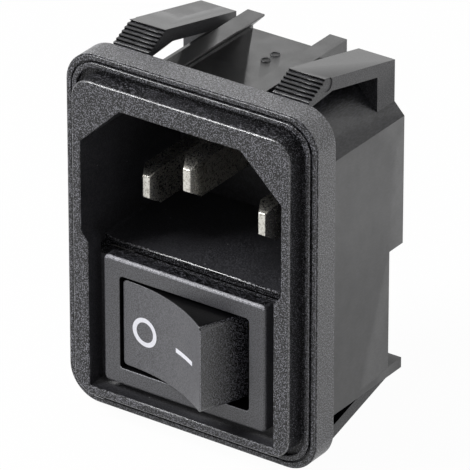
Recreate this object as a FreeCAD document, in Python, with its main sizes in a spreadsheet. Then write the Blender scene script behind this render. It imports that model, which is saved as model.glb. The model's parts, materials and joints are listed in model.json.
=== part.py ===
import FreeCAD, Part
import math
import os
import re
import Sketcher

# Snap-in power inlet: a three-pin appliance inlet above a double-pole rocker switch,
# both held by one moulded housing that clips into a sheet-metal panel.
# The panel's front face is the plane Y = 0, with the bezel in front of it at negative Y.
# X runs across, +Z is up, and the origin is the centre of the bezel's outline.

SIZES = {
    # bezel
    "flange_width": 30.25, "flange_height": 39.25, "flange_thick": 3.2, "flange_corner": 3.6,
    "rim_step": 0.15, "band_width": 0.85, "band_rise": 0.15, "groove_width": 0.2,
    "groove_depth": 0.25, "face_margin": 2.0, "face_rise": 1.9, "cove_width": 0.6,
    "cove_depth": 0.5, "edge_round": 0.25,
    # moulded body behind the bezel
    "body_width": 25.9, "body_top": 16.92, "body_bottom": 16.15, "body_depth": 15.3,
    "shoulder_across": 4.3, "shoulder_up": 4.55,
    # connector cavity and its floor
    "cavity_width": 24.2, "cavity_top": 15.3, "key_across": 4.84, "key_up": 4.58,
    "lip_foot": 0.68, "cavity_depth": 17.0, "floor_front": 1.6, "floor_rear": 1.1,
    "floor_setback": 4.17, "floor_corner": 0.8, "floor_round": 0.2,
    # switch bay, its wall and the chamber behind it
    "bay_width": 22.48, "bay_bottom": 16.65, "bay_depth": 2.3, "bay_wall": 1.8,
    "chamber_wall": 1.2, "web_under": 2.4, "foot_thick": 1.15, "notch_top": 1.9,
    "notch_depth": 2.4,
    # snap arms and dovetail rails
    "arm_centre": 9.57, "arm_width": 4.34, "arm_nose": 0.2, "arm_crest": 3.0,
    "arm_post": 3.1, "knee_setback": 1.3, "arm_thick": 1.45, "tooth_count": 6,
    "upper_crest": 21.05, "upper_rear": 18.25, "upper_nose": 19.7, "nose_thick": 0.8,
    "lower_crest": 20.5, "lower_rear": 17.1, "lower_nose": 19.15,
    "mark_radius": 0.8, "mark_back": 0.45, "mark_drop": 0.75, "mark_depth": 0.1,
    "rail_inner": 3.95, "rail_outer": 6.0, "rail_height": 1.93, "rail_neck": 0.65,
    "rail_lip": 0.2,
    # pins and the plate that carries them
    "pin_pitch": 14.0, "pin_thick": 2.0, "pin_wide": 4.0, "pin_row": 5.38, "earth_row": 9.38,
    "power_setback": 4.08, "earth_setback": 1.18, "tip_thick": 0.8, "tip_wide": 2.4,
    "tip_length": 1.3, "tab_thick": 0.8, "tab_wide": 6.3, "tab_length": 7.3,
    "tab_corner": 1.0, "tab_hole": 0.8, "tab_hole_back": 3.0, "pin_play": 0.03,
    "plate_thick": 2.4, "plate_play": 0.08, "boss_width": 4.4, "boss_height": 8.2,
    # switch case
    "switch_row": 8.65, "frame_width": 19.75, "frame_height": 14.3, "frame_corner": 0.6,
    "frame_front": 4.41, "frame_edge": 0.35, "case_width": 18.5, "case_height": 11.5,
    "case_rear": 11.5, "case_floor": 1.2, "case_play": 0.05, "well_width": 15.72,
    "well_height": 10.4, "well_corner": 0.4, "partition_thick": 0.5,
    "partition_front": 3.5, "latch_reach": 0.65, "latch_length": 3.2, "latch_width": 5.0,
    "latch_play": 0.05,
    # rocker
    "rocker_axis": 1.37, "rocker_tilt": 18.0, "rocker_height": 9.7, "ridge_across": 6.4,
    "ridge_out": 5.0, "crown_dip": 1.05, "skirt_across": 6.8, "skirt_back": 0.8,
    "rocker_wall": 1.1, "boss_half": 2.0, "boss_back": 4.0, "rocker_corner": 0.5,
    "trunnion_radius": 1.1, "trunnion_length": 0.8, "trunnion_play": 0.05,
    # one pole of the switch
    "pole_row": 2.71, "plunger_radius": 1.1, "plunger_play": 0.05, "plunger_back": 1.2,
    "bore_end": 1.4, "plunger_gap": 0.1, "spring_wire": 0.3, "spring_mean": 1.5,
    "spring_pitch": 1.0, "bridge_axis": 6.2, "bridge_tilt": 10.0, "bridge_half": 6.3,
    "bridge_thick": 0.9, "bridge_width": 4.2, "fulcrum_play": 0.05, "contact_reach": 5.2,
    "contact_head": 1.3, "contact_thick": 0.6, "shank_radius": 0.6, "stake_radius": 0.9,
    "stake_thick": 0.25, "contact_gap": 0.05, "shank_play": 0.02, "stop_gap": 0.15,
    "stop_across": 5.4,
    # switch terminals
    "blade_thick": 0.8, "blade_wide": 4.8, "blade_length": 7.6, "landing_inner": 3.8,
    "load_blade": 7.2, "blade_play": 0.03,
}

doc = FreeCAD.newDocument("PowerInlet")
sheet = doc.addObject("Spreadsheet::Sheet", "Size")
for row, (alias, number) in enumerate(SIZES.items(), start=1):
    sheet.set(f"A{row}", alias)
    sheet.set(f"B{row}", str(number))
    sheet.setAlias(f"B{row}", alias)
doc.recompute()

POLES = {"line": "pole_row", "neutral": "-pole_row"}


def bound(expression):
    """An expression in plain aliases, as the document's objects read it from the sheet."""
    def named(match):
        word = match.group(0)
        return f"Size.{word}" if word in SIZES else word
    return re.sub(r"[a-z_]+", named, expression)


def value(expression):
    """The number that an expression gives for the sizes in the sheet."""
    return float(sheet.evalExpression(bound(expression)))


def new_body(label):
    """An empty body whose label names the sub-part."""
    body = doc.addObject("PartDesign::Body", label)
    body.Label = label
    return body


def add_sketch(body, role, offset="0"):
    """A sketch on one of the body's own origin planes, offset along that plane's normal."""
    sketch = body.newObject("Sketcher::SketchObject", "Outline")
    plane = next(item for item in body.Origin.OriginFeatures if item.Role == role)
    sketch.AttachmentSupport = (plane, [""])
    sketch.MapMode = "FlatFace"
    sketch.setExpression("AttachmentOffset.Base.z", bound(offset))
    return sketch


def face_sketch(body, depth):
    """A sketch in an X-Z plane at Y = depth."""
    return add_sketch(body, "XZ_Plane", f"-({depth})")


def pin_point(sketch, geometry, point, place):
    """Fix one point of a sketch at two expressions counted from the sketch's origin."""
    for kind, expression in zip(("DistanceX", "DistanceY"), place):
        rule = Sketcher.Constraint(kind, -1, 1, geometry, point, value(expression))
        index = sketch.addConstraint(rule)
        sketch.setExpression(f"Constraints[{index}]", bound(expression))


def polygon(sketch, corners):
    """A closed outline of straight edges through corners given as expression pairs."""
    places = [FreeCAD.Vector(value(a), value(b), 0) for a, b in corners]
    first = sketch.GeometryCount
    count = len(corners)
    for index in range(count):
        edge = Part.LineSegment(places[index], places[(index + 1) % count])
        sketch.addGeometry(edge, False)
    for index in range(count):
        following = first + (index + 1) % count
        rule = Sketcher.Constraint("Coincident", first + index, 2, following, 1)
        sketch.addConstraint(rule)
    for index, place in enumerate(corners):
        pin_point(sketch, first + index, 1, place)
    return sketch


def box_corners(left, right, low, high):
    """The four corners of an upright rectangle."""
    return [(left, low), (right, low), (right, high), (left, high)]


def rounded_box(sketch, half_width, half_height, radius, middle="0"):
    """An upright rectangle with round corners, centred on X = 0 at the height middle."""
    across = f"({half_width}) - ({radius})"
    above = f"({middle}) + ({half_height}) - ({radius})"
    below = f"({middle}) - ({half_height}) + ({radius})"
    centres = [(across, above), (f"-({across})", above), (f"-({across})", below),
               (across, below)]
    size = value(radius)
    first = sketch.GeometryCount
    for quarter, (a, b) in enumerate(centres):
        circle = Part.Circle(FreeCAD.Vector(value(a), value(b), 0),
                             FreeCAD.Vector(0, 0, 1), size)
        start = quarter * math.pi / 2
        sketch.addGeometry(Part.ArcOfCircle(circle, start, start + math.pi / 2), False)
    for quarter in range(4):
        ahead = (quarter + 1) % 4
        begin = sketch.getPoint(first + quarter, 2)
        end = sketch.getPoint(first + ahead, 1)
        edge = sketch.addGeometry(Part.LineSegment(begin, end), False)
        sketch.addConstraint(Sketcher.Constraint("Tangent", first + quarter, 2, edge, 1))
        sketch.addConstraint(Sketcher.Constraint("Tangent", edge, 2, first + ahead, 1))
    for quarter, place in enumerate(centres):
        pin_point(sketch, first + quarter, 3, place)
        index = sketch.addConstraint(Sketcher.Constraint("Radius", first + quarter, size))
        sketch.setExpression(f"Constraints[{index}]", bound(radius))
    return sketch


def circle(sketch, place, radius):
    """A full circle at a place."""
    centre = FreeCAD.Vector(value(place[0]), value(place[1]), 0)
    round_edge = Part.Circle(centre, FreeCAD.Vector(0, 0, 1), value(radius))
    geometry = sketch.addGeometry(round_edge, False)
    pin_point(sketch, geometry, 3, place)
    index = sketch.addConstraint(Sketcher.Constraint("Radius", geometry, value(radius)))
    sketch.setExpression(f"Constraints[{index}]", bound(radius))
    return sketch


def extrude(body, kind, sketch, length, reverse=False, both=False):
    """Pad or pocket a sketch by a length, and make sure that it changed the body."""
    before = body.Shape.Volume if body.Tip else 0.0
    feature = body.newObject(f"PartDesign::{kind}", kind)
    feature.Profile = sketch
    feature.SideType = "Symmetric" if both else "One side"
    feature.Reversed = reverse
    feature.setExpression("Length", bound(length))
    doc.recompute()
    change = body.Shape.Volume - before
    if (kind == "Pad") != (change > 0) or abs(change) < 1e-4:
        raise RuntimeError(f"{body.Label}: {feature.Name} changed the volume by {change:.4f}")
    return feature


def pad_back(body, sketch, length):
    """Pad an X-Z sketch towards +Y."""
    return extrude(body, "Pad", sketch, length, reverse=True)


def cut_back(body, sketch, length):
    """Pocket an X-Z sketch towards +Y."""
    return extrude(body, "Pocket", sketch, length)


def spin(body, kind, sketch):
    """Revolve or groove a sketch about its own vertical axis."""
    feature = body.newObject(f"PartDesign::{kind}", kind)
    feature.Profile = sketch
    feature.ReferenceAxis = (sketch, ["V_Axis"])
    feature.Angle = 360
    doc.recompute()
    return feature


def round_edges(body, radius, axis, place, shortest="0"):
    """Fillet the edges that lie in the plane where a coordinate axis (0-2) equals place."""
    names = []
    for number, edge in enumerate(body.Shape.Edges, start=1):
        box = edge.BoundBox
        low, high = ((box.XMin, box.XMax), (box.YMin, box.YMax), (box.ZMin, box.ZMax))[axis]
        flat = max(abs(low - value(place)), abs(high - value(place))) < 1e-4
        if flat and edge.Length > value(shortest):
            names.append(f"Edge{number}")
    base = body.Tip
    fillet = body.newObject("PartDesign::Fillet", "Fillet")
    fillet.Base = (base, names)
    fillet.setExpression("Radius", bound(radius))
    doc.recompute()
    return fillet


def round_ends(body, radius):
    """Fillet the four front-to-back edges of the rocker's cap."""
    long_enough = value("ridge_out")
    names = [f"Edge{number}" for number, edge in enumerate(body.Shape.Edges, start=1)
             if edge.BoundBox.YLength > long_enough and edge.BoundBox.ZLength < 1e-4]
    base = body.Tip
    fillet = body.newObject("PartDesign::Fillet", "Fillet")
    fillet.Base = (base, names)
    fillet.setExpression("Radius", bound(radius))
    doc.recompute()


# ---- housing -------------------------------------------------------------------------

def both_sides(side):
    """An outline closed by mirroring one side of it, listed from the top down."""
    return side + [(f"-({across})", height) for across, height in reversed(side)]


def opening_outline():
    """The bezel's one opening: the keyed connector above, the narrower switch bay below."""
    step = "(cavity_width - bay_width) / 2"
    return both_sides([("cavity_width / 2 - key_across", "cavity_top"),
                       ("cavity_width / 2", "cavity_top - key_up"),
                       ("cavity_width / 2", "lip_foot"),
                       ("bay_width / 2", f"lip_foot - 1.25 * {step}"),
                       ("bay_width / 2", "-bay_bottom")])


def cavity_outline(inset, foot):
    """The connector cavity's section: two upper corners keyed off, its foot as given."""
    wide = f"(cavity_width / 2 - {inset})"
    return both_sides([(f"{wide} - key_across + {inset} / 2", f"cavity_top - {inset}"),
                       (wide, "cavity_top - key_up")]
                      + [(f"{wide} - {across}", height) for across, height in foot])


def eased_foot(floor):
    """The foot of a cavity whose lower corners are cut off at a slant."""
    return [("0", f"{floor} + floor_corner / 2"), ("floor_corner", floor)]


def arm_outline(side, crest, nose, rear):
    """A snap arm in section: saw teeth up to the crest, a long back and a post at the rear.

    side is +1 above the body and -1 below it.
    """
    post_front = "(body_depth - arm_post)"
    fall = f"(({crest} - {rear}) / (body_depth - arm_crest))"
    points = [("arm_nose", f"{nose} - nose_thick"), ("arm_nose", nose)]
    teeth = int(SIZES["tooth_count"])
    for tooth in range(1, teeth + 1):
        along = f"arm_nose + (arm_crest - arm_nose) * {tooth} / tooth_count"
        before = f"{nose} + ({crest} - {nose}) * {tooth - 1} / tooth_count"
        after = f"{nose} + ({crest} - {nose}) * {tooth} / tooth_count"
        points.append((along, before))
        points.append((along, after))
    knee = "(arm_crest + knee_setback)"
    points += [
        ("body_depth", rear),
        ("body_depth", "body_top - shoulder_up"),
        (post_front, "body_top - shoulder_up"),
        (post_front, f"{rear} + {fall} * arm_post - arm_thick"),
        (knee, f"{crest} - {fall} * knee_setback - arm_thick"),
    ]
    return [(along, f"{side} * ({height})") for along, height in points]


def build_housing():
    """The moulding: bezel, connector shell, switch bay, four snap arms and two rails."""
    body = new_body("housing")
    half_width = "flange_width / 2"
    half_height = "flange_height / 2"

    rim = rounded_box(face_sketch(body, "-flange_thick + rim_step"), half_width, half_height,
                      "flange_corner")
    pad_back(body, rim, "flange_thick - rim_step")

    def raised(inset, front, rise):
        """A plate on the bezel with its outline inset from the rim's."""
        plate = rounded_box(face_sketch(body, f"-flange_thick - ({front})"),
                            f"{half_width} - ({inset})", f"{half_height} - ({inset})",
                            f"flange_corner - 0.7 * ({inset})")
        pad_back(body, plate, rise)

    def ring(outer, inner, front, depth):
        """A groove round the bezel between two insets."""
        lines = face_sketch(body, f"-flange_thick - ({front})")
        for inset in (outer, inner):
            rounded_box(lines, f"{half_width} - ({inset})", f"{half_height} - ({inset})",
                        f"flange_corner - 0.7 * ({inset})")
        cut_back(body, lines, depth)

    raised("rim_step", "0", "rim_step")
    ring("band_width - groove_width", "band_width", "0", "groove_depth")
    raised("band_width", "band_rise", "band_rise")
    ring("face_margin - cove_width", "face_margin", "band_rise", "cove_depth")
    raised("face_margin", "face_rise", "face_rise")
    round_edges(body, "edge_round", 1, "-flange_thick - face_rise")

    shoulder = "body_top - shoulder_up"
    half_body = "body_width / 2"
    half_flat = "body_width / 2 - shoulder_across"
    shell = polygon(face_sketch(body, "0"), [
        (f"-{half_body}", "-body_bottom"), (half_body, "-body_bottom"),
        (half_body, shoulder), (half_flat, "body_top"),
        (f"-({half_flat})", "body_top"), (f"-{half_body}", shoulder)])
    pad_back(body, shell, "body_depth")

    for side, crest, nose, rear in ((1, "upper_crest", "upper_nose", "upper_rear"),
                                    (-1, "lower_crest", "lower_nose", "lower_rear")):
        for hand in (-1, 1):
            place = f"{hand} * arm_centre"
            arm = polygon(add_sketch(body, "YZ_Plane", place),
                          arm_outline(side, crest, nose, rear))
            extrude(body, "Pad", arm, "arm_width", both=True)

    for hand in (-1, 1):
        outer_side = f"{hand} * (arm_centre + arm_width / 2)"
        mark = circle(add_sketch(body, "YZ_Plane", outer_side),
                      ("arm_crest + mark_back", "upper_crest - mark_drop"), "mark_radius")
        extrude(body, "Pocket", mark, "mark_depth", reverse=hand < 0)

    for hand in (-1, 1):
        top = "body_top + rail_height"
        neck = "rail_outer - rail_neck"
        rail = polygon(face_sketch(body, "0"), [
            (f"{hand} * ({across})", height) for across, height in (
                ("rail_outer", "body_top - rail_neck"), ("rail_outer", top),
                ("rail_inner", top), ("rail_inner", f"{top} - rail_lip"),
                (neck, f"{top} - rail_lip - ({neck} - rail_inner)"),
                (neck, "body_top - rail_neck"))])
        pad_back(body, rail, "body_depth")

    front = "-flange_thick - face_rise"
    wall_front = f"({front} + bay_depth)"
    floor_edge = f"({front} + floor_setback)"
    opening = polygon(face_sketch(body, front), opening_outline())
    cut_back(body, opening, "bay_depth")
    ledge = polygon(face_sketch(body, wall_front),
                    cavity_outline("0", eased_foot("-web_under")))
    cut_back(body, ledge, f"{floor_edge} - {wall_front}")
    cavity = polygon(face_sketch(body, floor_edge),
                     cavity_outline("0", eased_foot("-floor_front")))
    cut_back(body, cavity, f"body_depth - {floor_edge}")
    ramp = polygon(add_sketch(body, "YZ_Plane"), [
        (floor_edge, "-floor_front"), ("body_depth", "-floor_front"),
        ("body_depth", "-floor_rear"), (f"{front} + cavity_depth", "-floor_rear")])
    extrude(body, "Pad", ramp, "cavity_width", both=True)
    round_edges(body, "floor_round", 2, "-floor_front", "bay_width / 2")

    wall_rear = f"{wall_front} + bay_wall"
    half_room = "body_width / 2 - chamber_wall"
    chamber = polygon(face_sketch(body, wall_rear), box_corners(
        f"-({half_room})", half_room, "foot_thick - body_bottom", "-web_under"))
    cut_back(body, chamber, f"body_depth - ({wall_rear})")
    notch = polygon(face_sketch(body, "body_depth - notch_depth"), box_corners(
        "-body_width", "body_width", "foot_thick - body_bottom", "-notch_top"))
    cut_back(body, notch, "notch_depth")
    cutout = polygon(face_sketch(body, wall_front), box_corners(
        "-case_width / 2 - case_play", "case_width / 2 + case_play",
        "-switch_row - case_height / 2 - case_play",
        "-switch_row + case_height / 2 + case_play"))
    cut_back(body, cutout, "bay_wall")
    return body


# ---- pins and the plate that carries them ----------------------------------------------

PLATE_FRONT = "(cavity_depth - flange_thick - face_rise)"
PINS = {
    "line_pin": ("-pin_pitch / 2", "pin_row", "power_setback"),
    "earth_pin": ("0", "earth_row", "earth_setback"),
    "neutral_pin": ("pin_pitch / 2", "pin_row", "power_setback"),
}


def build_plate():
    """The insulating plate that closes the cavity and carries the pins."""
    body = new_body("contact_plate")
    plate = polygon(face_sketch(body, PLATE_FRONT),
                    cavity_outline("plate_play", [("0", "plate_play - floor_rear")]))
    pad_back(body, plate, "plate_thick")
    rear = f"{PLATE_FRONT} + plate_thick"
    for across, height, _ in PINS.values():
        boss = polygon(face_sketch(body, rear), box_corners(
            f"{across} - boss_width / 2", f"{across} + boss_width / 2",
            f"{height} - boss_height / 2", f"{height} + boss_height / 2"))
        pad_back(body, boss, f"body_depth - ({rear})")
    slots = face_sketch(body, PLATE_FRONT)
    for across, height, _ in PINS.values():
        polygon(slots, box_corners(
            f"{across} - pin_thick / 2 - pin_play", f"{across} + pin_thick / 2 + pin_play",
            f"{height} - pin_wide / 2 - pin_play", f"{height} + pin_wide / 2 + pin_play"))
    cut_back(body, slots, f"body_depth - {PLATE_FRONT}")
    return body


def finish_tab(body, across, height, wide, end):
    """Clip the corners of a flat tab that ends at Y = end, and pierce its hole."""
    corners = add_sketch(body, "YZ_Plane", across)
    for side in (-1, 1):
        edge = f"{height} + {side} * {wide} / 2"
        polygon(corners, [(end, edge), (f"{end} - tab_corner", edge),
                          (end, f"{edge} - {side} * tab_corner")])
    circle(corners, (f"{end} - tab_hole_back", height), "tab_hole")
    extrude(body, "Pocket", corners, "pin_thick", both=True)


def build_pin(label, across, height, setback):
    """A solid blade with a tapered tip, and a quick-connect tab behind its shoulder."""
    body = new_body(label)
    tip = f"-flange_thick - face_rise + {setback}"
    blade = polygon(face_sketch(body, tip), box_corners(
        f"{across} - pin_thick / 2", f"{across} + pin_thick / 2",
        f"{height} - pin_wide / 2", f"{height} + pin_wide / 2"))
    pad_back(body, blade, f"body_depth - ({tip})")
    tab = polygon(face_sketch(body, "body_depth"), box_corners(
        f"{across} - tab_thick / 2", f"{across} + tab_thick / 2",
        f"{height} - tab_wide / 2", f"{height} + tab_wide / 2"))
    pad_back(body, tab, "tab_length")
    plan = add_sketch(body, "XY_Plane", height)
    side_view = add_sketch(body, "YZ_Plane", across)
    for side in (-1, 1):
        edge = f"{across} + {side} * pin_thick / 2"
        inner = f"{across} + {side} * tip_thick / 2"
        polygon(plan, [(edge, tip), (inner, tip), (edge, f"{tip} + tip_length")])
        edge = f"{height} + {side} * pin_wide / 2"
        inner = f"{height} + {side} * tip_wide / 2"
        polygon(side_view, [(tip, edge), (tip, inner), (f"{tip} + tip_length", edge)])
    extrude(body, "Pocket", plan, "pin_wide", both=True)
    extrude(body, "Pocket", side_view, "pin_thick", both=True)
    finish_tab(body, across, height, "tab_wide", "(body_depth + tab_length)")
    return body


# ---- switch case -----------------------------------------------------------------------

WALL_FRONT = "(bay_depth - flange_thick - face_rise)"
CASE_INNER_FLOOR = "(case_rear - case_floor)"


def build_case():
    """The switch's case: frame, box, latches, well, partition, stops and terminal slots."""
    body = new_body("switch_case")
    frame = rounded_box(face_sketch(body, "-frame_front"), "frame_width / 2",
                        "frame_height / 2", "frame_corner", "-switch_row")
    pad_back(body, frame, f"frame_front + {WALL_FRONT}")
    round_edges(body, "frame_edge", 1, "-frame_front")
    box = rounded_box(face_sketch(body, WALL_FRONT), "case_width / 2", "case_height / 2",
                      "frame_corner / 2", "-switch_row")
    pad_back(body, box, f"case_rear - {WALL_FRONT}")
    wall_rear = f"({WALL_FRONT} + bay_wall + latch_play)"
    latches = add_sketch(body, "XY_Plane", "-switch_row")
    for hand in (-1, 1):
        polygon(latches, [(f"{hand} * case_width / 2.2", wall_rear),
                          (f"{hand} * (case_width / 2 + latch_reach)", wall_rear),
                          (f"{hand} * case_width / 2", f"{wall_rear} + latch_length"),
                          (f"{hand} * case_width / 2.2", f"{wall_rear} + latch_length")])
    extrude(body, "Pad", latches, "latch_width", both=True)
    well = rounded_box(face_sketch(body, "-frame_front"), "well_width / 2",
                       "well_height / 2", "well_corner", "-switch_row")
    cut_back(body, well, f"frame_front + {CASE_INNER_FLOOR}")
    wall = polygon(face_sketch(body, "partition_front"), box_corners(
        "-well_width / 2 - well_corner", "well_width / 2 + well_corner",
        "-switch_row - partition_thick / 2", "-switch_row + partition_thick / 2"))
    pad_back(body, wall, f"{CASE_INNER_FLOOR} - partition_front")
    stop_front = ("(bridge_axis + bridge_half * sin(bridge_tilt * 1 deg)"
                  " + bridge_thick * (1 - cos(bridge_tilt * 1 deg)) + stop_gap)")
    stop = polygon(face_sketch(body, stop_front), box_corners(
        "stop_across", "well_width / 2 + well_corner",
        "-switch_row - well_height / 2 - well_corner",
        "-switch_row + well_height / 2 + well_corner"))
    pad_back(body, stop, f"{CASE_INNER_FLOOR} - {stop_front}")
    holes = circle(add_sketch(body, "XY_Plane", "-switch_row"), ("0", "-rocker_axis"),
                   "trunnion_radius + trunnion_play")
    extrude(body, "Pocket", holes, "case_height", both=True)
    slots = face_sketch(body, CASE_INNER_FLOOR)
    for row in POLES.values():
        for middle in ("0", "blade_thick / 2 - load_blade"):
            polygon(slots, box_corners(
                f"{middle} - blade_thick / 2 - blade_play",
                f"{middle} + blade_thick / 2 + blade_play",
                f"{row} - switch_row - blade_wide / 2 - blade_play",
                f"{row} - switch_row + blade_wide / 2 + blade_play"))
    cut_back(body, slots, "case_floor")
    return body


# ---- rocker and what it drives -----------------------------------------------------------

def place_on_axis(body, depth, height, tilt):
    """Set a body's own origin on an upright axis at Y = depth, turned by tilt degrees."""
    body.Placement = FreeCAD.Placement(FreeCAD.Vector(0, 0, 0),
                                       FreeCAD.Rotation(FreeCAD.Vector(0, 0, 1), 1))
    body.setExpression("Placement.Base.y", bound(depth))
    body.setExpression("Placement.Base.z", bound(height))
    body.setExpression("Placement.Rotation.Angle", bound(tilt))


def build_rocker():
    """The rocker: a hollow cap with a hollowed crown, two trunnions and a bored boss."""
    body = new_body("rocker")
    cap = add_sketch(body, "XY_Plane")
    ridge = ("ridge_across", "-ridge_out")
    corners = [("-ridge_across", "-ridge_out"), ("-skirt_across", "skirt_back"),
               ("skirt_across", "skirt_back"), ridge]
    places = [FreeCAD.Vector(value(a), value(b), 0) for a, b in corners]
    for begin, end in zip(places, places[1:]):
        cap.addGeometry(Part.LineSegment(begin, end), False)
    dip = FreeCAD.Vector(0, value("crown_dip - ridge_out"), 0)
    cap.addGeometry(Part.Arc(places[3], dip, places[0]), False)
    for index in range(4):
        follow = (index + 1) % 4
        ends = (2, 1)
        if index == 2:
            ends = (2, crown_end(cap, 3, places[3]))
        if index == 3:
            ends = (3 - crown_end(cap, 3, places[3]), 1)
        cap.addConstraint(Sketcher.Constraint("Coincident", index, ends[0], follow, ends[1]))
    for index, place in enumerate(corners[:3]):
        pin_point(cap, index, 1, place)
    pin_point(cap, 2, 2, ridge)
    crown = "(ridge_across * ridge_across + crown_dip * crown_dip) / (2 * crown_dip)"
    rule = cap.addConstraint(Sketcher.Constraint("Radius", 3, value(crown)))
    cap.setExpression(f"Constraints[{rule}]", bound(crown))
    extrude(body, "Pad", cap, "rocker_height", both=True)
    round_ends(body, "rocker_corner")
    hollow = polygon(add_sketch(body, "XY_Plane"), [
        ("-skirt_across + rocker_wall", "skirt_back"),
        ("-ridge_across + rocker_wall", "-ridge_out + crown_dip + rocker_wall / 2"),
        ("0", "-ridge_out + crown_dip + rocker_wall"),
        ("ridge_across - rocker_wall", "-ridge_out + crown_dip + rocker_wall / 2"),
        ("skirt_across - rocker_wall", "skirt_back")])
    extrude(body, "Pocket", hollow, "rocker_height - 2 * rocker_wall", both=True)
    boss = polygon(add_sketch(body, "XY_Plane"), box_corners(
        "-boss_half", "boss_half", "-ridge_out + crown_dip + rocker_wall / 2", "boss_back"))
    extrude(body, "Pad", boss, "rocker_height - rocker_wall / 2", both=True)
    for hand in (-1, 1):
        start = f"{hand} * (rocker_height / 2 - rocker_wall / 2)"
        trunnion = circle(add_sketch(body, "XY_Plane", start), ("0", "0"), "trunnion_radius")
        extrude(body, "Pad", trunnion, "trunnion_length + rocker_wall / 2", reverse=hand < 0)
    bores = add_sketch(body, "XZ_Plane", "bore_end")
    for row in POLES.values():
        circle(bores, ("0", row), "plunger_radius + plunger_play")
    extrude(body, "Pocket", bores, "bore_end + boss_back")
    place_on_axis(body, "-rocker_axis", "-switch_row", "-rocker_tilt")
    return body


def crown_end(sketch, geometry, place):
    """Which end of an arc, 1 or 2, lies at a place: a sketch keeps its arcs anticlockwise."""
    return 1 if sketch.getPoint(geometry, 1).distanceToPoint(place) < 1e-6 else 2


PLUNGER_REACH = "(bridge_axis - bridge_thick - plunger_gap + rocker_axis)"


def build_plunger(pole, row):
    """A sprung plunger with a round nose that rides on its contact bridge."""
    body = new_body(f"plunger_{pole}")
    half = add_sketch(body, "XY_Plane")
    shoulder = f"({PLUNGER_REACH} - plunger_radius)"
    corners = [("0", "plunger_back"), ("plunger_radius", "plunger_back"),
               ("plunger_radius", shoulder)]
    places = [FreeCAD.Vector(value(a), value(b), 0) for a, b in corners]
    tip = FreeCAD.Vector(0, value(PLUNGER_REACH), 0)
    half.addGeometry(Part.LineSegment(places[0], places[1]), False)
    half.addGeometry(Part.LineSegment(places[1], places[2]), False)
    nose = Part.Circle(FreeCAD.Vector(0, value(shoulder), 0), FreeCAD.Vector(0, 0, 1),
                       value("plunger_radius"))
    half.addGeometry(Part.ArcOfCircle(nose, 0, math.pi / 2), False)
    half.addGeometry(Part.LineSegment(tip, places[0]), False)
    for index in range(4):
        rule = Sketcher.Constraint("Coincident", index, 2, (index + 1) % 4, 1)
        half.addConstraint(rule)
    for index, place in enumerate(corners):
        pin_point(half, index, 1, place)
    pin_point(half, 2, 3, ("0", shoulder))
    half.addConstraint(Sketcher.Constraint("PointOnObject", 3, 1, -2))
    spin(body, "Revolution", half)
    place_on_axis(body, "-rocker_axis", f"{row} - switch_row", "-rocker_tilt")
    return body


def build_spring(pole, row):
    """The compression spring between a bore's end and its plunger, its wire six-sided."""
    body = new_body(f"spring_{pole}")
    start = "(spring_wire / 2 + plunger_play - bore_end)"
    section = []
    for corner in range(6):
        turn = f"{60 * corner} * 1 deg"
        section.append((f"spring_mean / 2 + spring_wire / 2 * cos({turn})",
                        f"{start} + spring_wire / 2 * sin({turn})"))
    wire = polygon(add_sketch(body, "XY_Plane"), section)
    coil = body.newObject("PartDesign::AdditiveHelix", "Coil")
    coil.Profile = wire
    coil.ReferenceAxis = (wire, ["V_Axis"])
    coil.Mode = 0
    coil.setExpression("Pitch", bound("spring_pitch"))
    coil.setExpression("Height", bound(
        "bore_end + plunger_back - spring_wire - 2 * plunger_play"))
    doc.recompute()
    place_on_axis(body, "-rocker_axis", f"{row} - switch_row", "-rocker_tilt")
    return body


def build_bridge(pole, row):
    """The see-saw contact bridge, grooved underneath where it rocks on its fulcrum."""
    body = new_body(f"bridge_{pole}")
    strip = polygon(add_sketch(body, "XY_Plane"), box_corners(
        "-bridge_half", "bridge_half", "-bridge_thick", "0"))
    extrude(body, "Pad", strip, "bridge_width", both=True)
    groove = circle(add_sketch(body, "XY_Plane"), ("0", "0"),
                    "blade_thick / 2 + fulcrum_play")
    extrude(body, "Pocket", groove, "bridge_width", both=True)
    hole = circle(face_sketch(body, "-bridge_thick"), ("-contact_reach", "0"),
                  "shank_radius + shank_play")
    cut_back(body, hole, "bridge_thick")
    place_on_axis(body, "bridge_axis", f"{row} - switch_row", "bridge_tilt")
    return body


def build_rivet(label, row, tilt, head, strip, facing):
    """A contact rivet: a flat head, a shank through its strip and a staked end.

    head and strip are the depths, in the tilted frame, at which each begins;
    facing is +1 where the head looks towards +Y and -1 where it looks towards -Y.
    """
    body = new_body(label)
    stake = f"{strip} - {facing} * stake_thick"
    outline = [("0", head), ("contact_head", head),
               ("contact_head", f"{head} - {facing} * contact_thick"),
               ("shank_radius", f"{head} - {facing} * contact_thick"),
               ("shank_radius", strip), ("stake_radius", strip),
               ("stake_radius", stake), ("0", stake)]
    half = polygon(add_sketch(body, "XY_Plane"), outline)
    spin(body, "Revolution", half)
    body.Placement = FreeCAD.Placement(FreeCAD.Vector(0, 0, 0),
                                       FreeCAD.Rotation(FreeCAD.Vector(0, 0, 1), 1))
    body.setExpression("Placement.Base.x", bound(f"-contact_reach * cos({tilt} * 1 deg)"))
    body.setExpression("Placement.Base.y", bound(
        f"bridge_axis - contact_reach * sin({tilt} * 1 deg)"))
    body.setExpression("Placement.Base.z", bound(f"{row} - switch_row"))
    body.setExpression("Placement.Rotation.Angle", bound(tilt))
    return body


# ---- switch terminals ----------------------------------------------------------------------

def finish_blade(body, middle, row):
    """Clip and pierce the end of a terminal blade."""
    end = "(case_rear + blade_length)"
    finish_tab(body, middle, f"{row} - switch_row", "blade_wide", end)


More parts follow.
